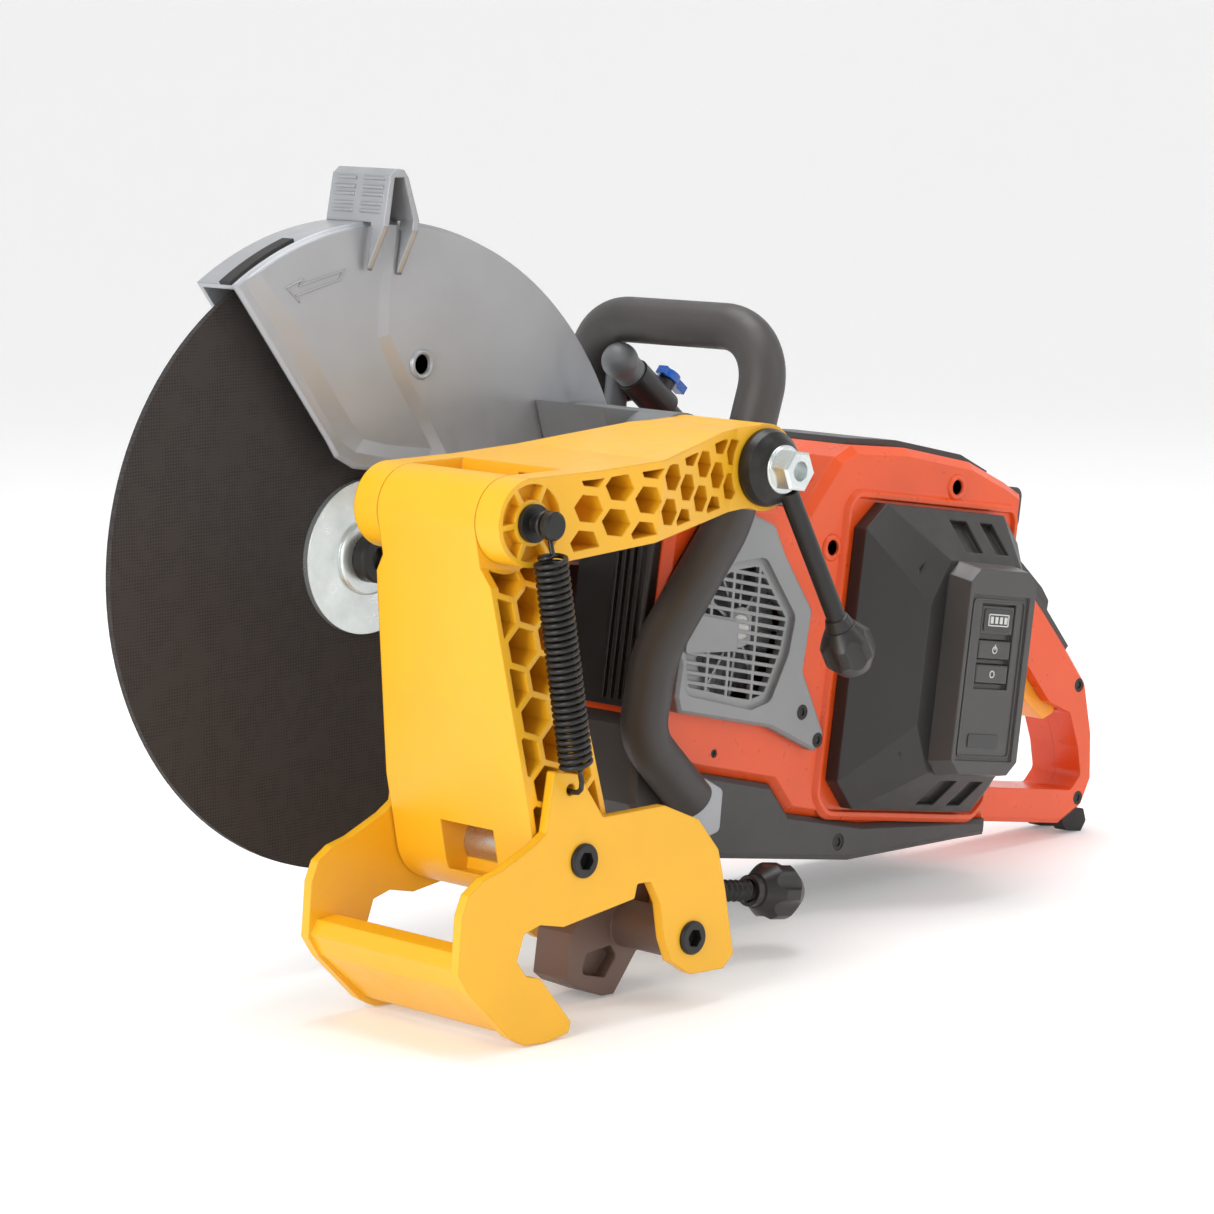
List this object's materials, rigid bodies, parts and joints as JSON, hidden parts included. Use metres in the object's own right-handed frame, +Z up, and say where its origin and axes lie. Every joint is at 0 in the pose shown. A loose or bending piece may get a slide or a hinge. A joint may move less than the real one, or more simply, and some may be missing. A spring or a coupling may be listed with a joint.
{
  "type": "rail cutting saw",
  "caption": "Battery cut-off saw with an abrasive disc, swinging blade guard and a jointed rail-clamp guide on its left side.",
  "frame": {"origin": "on the floor under the middle of the bounding box, as the saw stands on its clamp and rear feet", "axes": "+X to the rear of the saw, +Y to the operator's right, +Z up"},
  "size_m": [0.7562, 0.278, 0.4464],
  "materials": {
    "orange_shell": "satin moulded plastic",
    "dark_plastic": "fine grained plastic",
    "grey_plastic": "matte grained plastic",
    "battery_shell": "matte moulded plastic",
    "panel_grey": "satin plastic",
    "soft_grip": "soft grip rubber",
    "black_rubber": "rubber",
    "silver_cast": "silver painted casting",
    "grey_cast": "grey painted casting",
    "yellow_cast": "yellow powder coat",
    "trigger_yellow": "satin plastic",
    "abrasive": "woven abrasive",
    "zinc": "zinc plated, turned",
    "steel": "machined steel",
    "black_steel": "black oxide steel",
    "bronze_cast": "phosphated casting",
    "aluminium": "cast aluminium",
    "blue_plastic": "gloss plastic",
    "copper": "enamelled windings",
    "cell_green": "wrapped cells"
  },
  "bodies": {
    "saw": {"housing_left": "orange_shell", "housing_right": "orange_shell", "front_cover": "dark_plastic", "lower_skid": "grey_plastic", "rear_handle_left": "orange_shell", "rear_handle_right": "orange_shell", "grip_pad": "soft_grip", "top_cover": "grey_plastic", "cooling_grille": "silver_cast", "body_screws": "black_steel", "controller_box": "grey_plastic", "battery_terminal": "dark_plastic", "rear_feet": "black_rubber", "motor_stator": "copper", "drive_arm": "aluminium", "belt_cover": "dark_plastic", "drive_belt": "black_rubber", "shaft_bearings": "steel", "front_handle": "soft_grip", "handle_bracket_left": "silver_cast", "handle_bracket_right": "silver_cast", "rail_bracket": "grey_cast", "hub_shaft": "steel", "hub_nut": "zinc", "water_valve": "dark_plastic", "water_elbow": "grey_cast"},
    "blade": {"cutting_disc": "abrasive", "outer_flange": "zinc", "inner_flange": "zinc", "spindle_shaft": "steel", "flange_bolt": "black_steel", "driven_pulley": "steel"},
    "rotor": {"motor_rotor": "steel", "cooling_fan": "aluminium", "drive_pulley": "steel"},
    "guard": {"blade_guard": "silver_cast", "guard_grip": "silver_cast", "guard_seal": "black_rubber"},
    "trigger": {"throttle_trigger": "trigger_yellow"},
    "lockout": {"lockout_lever": "grey_plastic"},
    "latch": {"battery_latch": "grey_plastic"},
    "battery": {"battery_case": "battery_shell", "battery_panel": "panel_grey", "battery_cells": "cell_green"},
    "charge_key": {"charge_button": "panel_grey"},
    "mode_key": {"mode_button": "panel_grey"},
    "tap": {"tap_lever": "blue_plastic"},
    "upper_link": {"upper_arm": "yellow_cast", "hub_bushings": "bronze_cast", "knuckle_pin": "black_steel"},
    "lever": {"lock_lever": "black_steel", "lever_knob": "dark_plastic"},
    "lower_link": {"lower_arm": "yellow_cast", "lower_bushing": "steel", "tension_spring": "black_steel"},
    "clamp": {"clamp_frame": "yellow_cast", "clamp_bolts": "black_steel"},
    "jaw": {"clamp_jaw": "bronze_cast"},
    "screw": {"clamp_screw": "black_steel", "star_knob": "dark_plastic"}
  },
  "joints": [
    {"name": "blade_spin", "type": "hinge", "parent": "saw", "child": "blade", "pos_m": [-0.20314, 0.08098, 0.23166], "axis": [0, 1, 0], "continuous": true},
    {"name": "motor_spin", "type": "hinge", "parent": "saw", "child": "rotor", "pos_m": [0.013, 0.08098, 0.17717], "axis": [0, 1, 0], "continuous": true},
    {"name": "guard_turn", "type": "hinge", "parent": "saw", "child": "guard", "pos_m": [-0.20314, 0.08098, 0.23166], "axis": [0, 1, 0], "range_deg": [-15, 45]},
    {"name": "trigger_squeeze", "type": "hinge", "parent": "saw", "child": "trigger", "pos_m": [0.30073, 0.08098, 0.13363], "axis": [0, -1, 0], "range_deg": [0, 8], "stiffness_Nm_per_rad": 0.5, "springref_deg": -8.59},
    {"name": "lockout_press", "type": "hinge", "parent": "saw", "child": "lockout", "pos_m": [0.29903, 0.08098, 0.18047], "axis": [0, 1, 0], "range_deg": [0, 12], "stiffness_Nm_per_rad": 0.4, "springref_deg": -11.46},
    {"name": "latch_push", "type": "slide", "parent": "saw", "child": "latch", "axis": [-0.9877, 0, 0.1564], "range_m": [0, 0.004], "stiffness_N_per_m": 300, "springref_m": -0.004},
    {"name": "battery_slide", "type": "slide", "parent": "saw", "child": "battery", "axis": [0, -1, 0], "range_m": [0, 0.06]},
    {"name": "charge_press", "type": "slide", "parent": "battery", "child": "charge_key", "axis": [0, 1, 0], "range_m": [0, 0.0012], "stiffness_N_per_m": 150, "springref_m": -0.002},
    {"name": "mode_press", "type": "slide", "parent": "battery", "child": "mode_key", "axis": [0, 1, 0], "range_m": [0, 0.0012], "stiffness_N_per_m": 150, "springref_m": -0.002},
    {"name": "tap_turn", "type": "hinge", "parent": "saw", "child": "tap", "pos_m": [0.03561, 0.08898, 0.30076], "axis": [0.6483, 0, 0.7614], "range_deg": [0, 90]},
    {"name": "upper_swing", "type": "hinge", "parent": "saw", "child": "upper_link", "pos_m": [-0.05921, 0.08098, 0.28378], "axis": [0, 1, 0], "range_deg": [0, 50]},
    {"name": "lever_turn", "type": "hinge", "parent": "saw", "child": "lever", "pos_m": [-0.05921, 0.08098, 0.28378], "axis": [0, 1, 0], "range_deg": [-60, 60]},
    {"name": "lower_swing", "type": "hinge", "parent": "upper_link", "child": "lower_link", "pos_m": [-0.2602, 0.08098, 0.27411], "axis": [0, 1, 0], "range_deg": [0, 60]},
    {"name": "clamp_tilt", "type": "hinge", "parent": "lower_link", "child": "clamp", "pos_m": [-0.22405, 0.08098, 0.09322], "axis": [0, 1, 0], "range_deg": [-15, 20], "deforming": ["tension_spring"]},
    {"name": "jaw_close", "type": "hinge", "parent": "clamp", "child": "jaw", "pos_m": [-0.14355, 0.08098, 0.03896], "axis": [0, 1, 0], "range_deg": [-30, 0]},
    {"name": "screw_turn", "type": "hinge", "parent": "clamp", "child": "screw", "pos_m": [-0.03537, -0.05702, 0.03803], "axis": [0.9877, 0, -0.1564], "range_deg": [-1980, 0]}
  ],
  "couplings": [
    {"joint": "motor_spin", "follows": "blade_spin", "ratio": 1.6667},
    {"joint": "screw_turn", "follows": "jaw_close", "ratio": 66}
  ]
}
